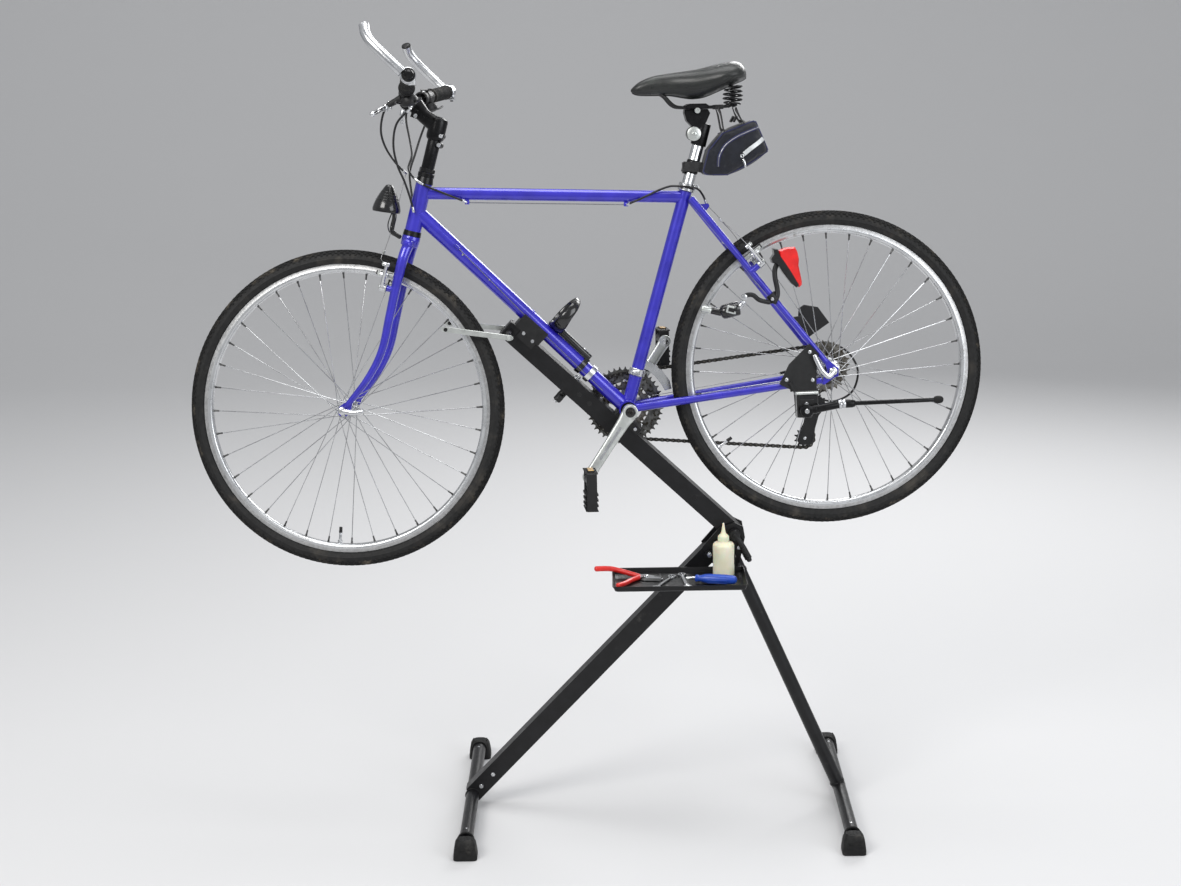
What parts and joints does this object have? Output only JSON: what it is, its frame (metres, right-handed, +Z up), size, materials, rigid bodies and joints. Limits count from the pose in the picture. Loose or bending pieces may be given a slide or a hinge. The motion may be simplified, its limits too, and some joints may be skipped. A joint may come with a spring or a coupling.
{
  "type": "bicycle on repair stand",
  "caption": "Upright hybrid bicycle with sprung saddle, seat bag and bar ends, held by its bottom bracket and down tube on a folding floor stand with a tool tray.",
  "frame": {"origin": "on the floor, at the middle of the outline", "axes": "+X towards the back of the bicycle, +Y towards its right-hand (chain) side, +Z up"},
  "size_m": [1.7637, 0.6649, 1.7973],
  "materials": {
    "black_alloy": "black anodised",
    "black_plastic": "moulded",
    "black_steel": "satin black powder coat",
    "bottle": "translucent ivory",
    "cable": "cable housing",
    "chain": "oily",
    "frame_paint": "gloss royal blue",
    "nylon": "woven",
    "rim": "anodised",
    "rubber": "matte",
    "silver": "polished",
    "spoke": "stainless",
    "sprocket": "worn",
    "tools": "chromed",
    "tyre": "knobbly",
    "vinyl": "grained"
  },
  "bodies": {
    "stand": {"stand_head": "black_steel", "rear_leg": "black_steel", "rear_feet": "rubber", "tool_tray": "black_plastic", "squeeze_bottle": "bottle", "hand_tools": "tools"},
    "front_leg": {"front_leg": "black_steel", "front_feet": "rubber"},
    "tilt_handle": {"tilt_handle": "black_plastic"},
    "boom": {"boom_tube": "black_steel", "boom_cradles": "black_plastic", "clamp_hook": "silver", "down_tube": "frame_paint", "top_tube": "frame_paint", "seat_tube": "frame_paint", "seat_stays": "frame_paint", "chain_stays": "frame_paint", "frame_fittings": "black_alloy", "bottle_cage": "black_plastic", "stay_brackets": "black_plastic", "rear_axle": "silver", "derailleurs": "black_plastic", "frame_cables": "cable", "chain": "chain"},
    "wing_handle": {"wing_handle": "black_plastic"},
    "wheel_restraint": {"wheel_restraint": "silver"},
    "kickstand": {"kickstand_leg": "black_alloy"},
    "dynamo": {"dynamo": "black_plastic"},
    "steering": {"fork": "frame_paint", "stem": "black_alloy", "handlebar": "black_alloy", "grips": "rubber", "bar_ends": "silver", "lever_mounts": "black_plastic", "bar_cables": "cable", "front_axle": "silver"},
    "headlight": {"headlight": "black_plastic"},
    "brake_lever_left": {"brake_lever_left": "silver"},
    "brake_lever_right": {"brake_lever_right": "silver"},
    "front_brake_left": {"front_brake_left": "silver"},
    "front_brake_right": {"front_brake_right": "silver"},
    "rear_brake_left": {"rear_brake_left": "silver"},
    "rear_brake_right": {"rear_brake_right": "silver"},
    "front_wheel": {"front_tyre": "tyre", "front_rim": "rim", "front_spokes": "spoke", "front_hub": "silver"},
    "rear_wheel": {"rear_tyre": "tyre", "rear_rim": "rim", "rear_spokes": "spoke", "rear_hub": "silver"},
    "cassette": {"cassette": "sprocket"},
    "crankset": {"crank_arms": "silver", "chainrings": "sprocket"},
    "pedal_left": {"pedal_left": "black_plastic"},
    "pedal_right": {"pedal_right": "black_plastic"},
    "seat": {"seatpost": "silver", "saddle_rails": "black_steel", "saddle": "vinyl", "saddle_bag": "nylon"}
  },
  "joints": [
    {"name": "front_leg_fold", "type": "hinge", "parent": "stand", "child": "front_leg", "pos_m": [0.265, -0.005, 0.602], "axis": [0, -1, 0], "range_deg": [0, 58]},
    {"name": "boom_tilt", "type": "hinge", "parent": "stand", "child": "boom", "pos_m": [0.321, -0.005, 0.648], "axis": [0, 1, 0], "range_deg": [-12, 12]},
    {"name": "tilt_handle_turn", "type": "hinge", "parent": "stand", "child": "tilt_handle", "pos_m": [0.321, -0.005, 0.648], "axis": [0, -1, 0], "range_deg": [0, 90]},
    {"name": "clamp_handle_turn", "type": "hinge", "parent": "boom", "child": "wing_handle", "pos_m": [-0.06416, -0.005, 0.96405], "axis": [0.6871, 0, 0.7266], "range_deg": [-180, 180]},
    {"name": "restraint_swing", "type": "hinge", "parent": "boom", "child": "wheel_restraint", "pos_m": [-0.17089, -0.005, 1.11316], "axis": [0, 1, 0], "range_deg": [-10, 40]},
    {"name": "steer", "type": "hinge", "parent": "boom", "child": "steering", "pos_m": [-0.35049, 0.0018, 1.4413], "axis": [0.2576, 0.1062, 0.9604], "range_deg": [-2, 2]},
    {"name": "headlight_tilt", "type": "hinge", "parent": "steering", "child": "headlight", "pos_m": [-0.40668, -0.00899, 1.32651], "axis": [0.0745, 0.9888, -0.1293], "range_deg": [-6, 10]},
    {"name": "brake_lever_left_pull", "type": "hinge", "parent": "steering", "child": "brake_lever_left", "pos_m": [-0.41931, -0.0796, 1.61446], "axis": [-0.6015, 0.148, 0.785], "range_deg": [0, 20], "stiffness_Nm_per_rad": 0.5, "springref_deg": -14.32},
    {"name": "brake_lever_right_pull", "type": "hinge", "parent": "steering", "child": "brake_lever_right", "pos_m": [-0.40321, 0.134, 1.58652], "axis": [0.6015, -0.148, -0.785], "range_deg": [0, 20], "stiffness_Nm_per_rad": 0.5, "springref_deg": -14.32},
    {"name": "front_brake_left_close", "type": "hinge", "parent": "steering", "child": "front_brake_left", "pos_m": [-0.43759, -0.06659, 1.224], "axis": [-0.9634, 0.1049, 0.2468], "range_deg": [0, 3.6]},
    {"name": "front_brake_right_close", "type": "hinge", "parent": "steering", "child": "front_brake_right", "pos_m": [-0.43074, 0.02438, 1.2121], "axis": [0.9634, -0.1049, -0.2468], "range_deg": [0, 3.6]},
    {"name": "rear_brake_left_close", "type": "hinge", "parent": "boom", "child": "rear_brake_left", "pos_m": [0.38043, 0.00477, 1.25055], "axis": [-0.7782, -0.121, -0.6163], "range_deg": [0, 3.6]},
    {"name": "rear_brake_right_close", "type": "hinge", "parent": "boom", "child": "rear_brake_right", "pos_m": [0.37307, 0.09013, 1.24308], "axis": [0.7782, 0.121, 0.6163], "range_deg": [0, 3.6]},
    {"name": "front_wheel_spin", "type": "hinge", "parent": "steering", "child": "front_wheel", "pos_m": [-0.53283, -0.04834, 0.95295], "axis": [0.0745, 0.9888, -0.1293], "continuous": true},
    {"name": "rear_wheel_spin", "type": "hinge", "parent": "boom", "child": "rear_wheel", "pos_m": [0.53306, 0.04026, 1.01063], "axis": [-0.0855, 0.9925, -0.0868], "continuous": true},
    {"name": "crank_spin", "type": "hinge", "parent": "boom", "child": "crankset", "pos_m": [0.085, -0.005, 0.9346], "axis": [-0.0855, 0.9925, -0.0868], "continuous": true, "deforming": ["chain"]},
    {"name": "cassette_spin", "type": "hinge", "parent": "boom", "child": "cassette", "pos_m": [0.53306, 0.04026, 1.01063], "axis": [-0.0855, 0.9925, -0.0868], "continuous": true},
    {"name": "pedal_left_spin", "type": "hinge", "parent": "crankset", "child": "pedal_left", "pos_m": [0.00186, -0.1544, 0.80588], "axis": [-0.0855, 0.9925, -0.0868], "continuous": true},
    {"name": "pedal_right_spin", "type": "hinge", "parent": "crankset", "child": "pedal_right", "pos_m": [0.16814, 0.1444, 1.06332], "axis": [-0.0855, 0.9925, -0.0868], "continuous": true},
    {"name": "kickstand_swing", "type": "hinge", "parent": "boom", "child": "kickstand", "pos_m": [0.47582, -0.06779, 0.93752], "axis": [-0.0855, 0.9925, -0.0868], "range_deg": [0, 75]},
    {"name": "dynamo_swing", "type": "hinge", "parent": "boom", "child": "dynamo", "pos_m": [0.34465, -0.02597, 1.1763], "axis": [0.0037, -0.0868, -0.9962], "range_deg": [0, 12]},
    {"name": "seatpost_slide", "type": "slide", "parent": "boom", "child": "seat", "axis": [0.2732, 0.1072, 0.956], "range_m": [-0.015, 0.05]}
  ],
  "couplings": [
    {"joint": "front_brake_left_close", "follows": "brake_lever_left_pull", "ratio": 0.175},
    {"joint": "front_brake_right_close", "follows": "brake_lever_left_pull", "ratio": 0.175},
    {"joint": "rear_brake_left_close", "follows": "brake_lever_right_pull", "ratio": 0.175},
    {"joint": "rear_brake_right_close", "follows": "brake_lever_right_pull", "ratio": 0.175},
    {"joint": "cassette_spin", "follows": "crank_spin", "ratio": 1.5}
  ]
}
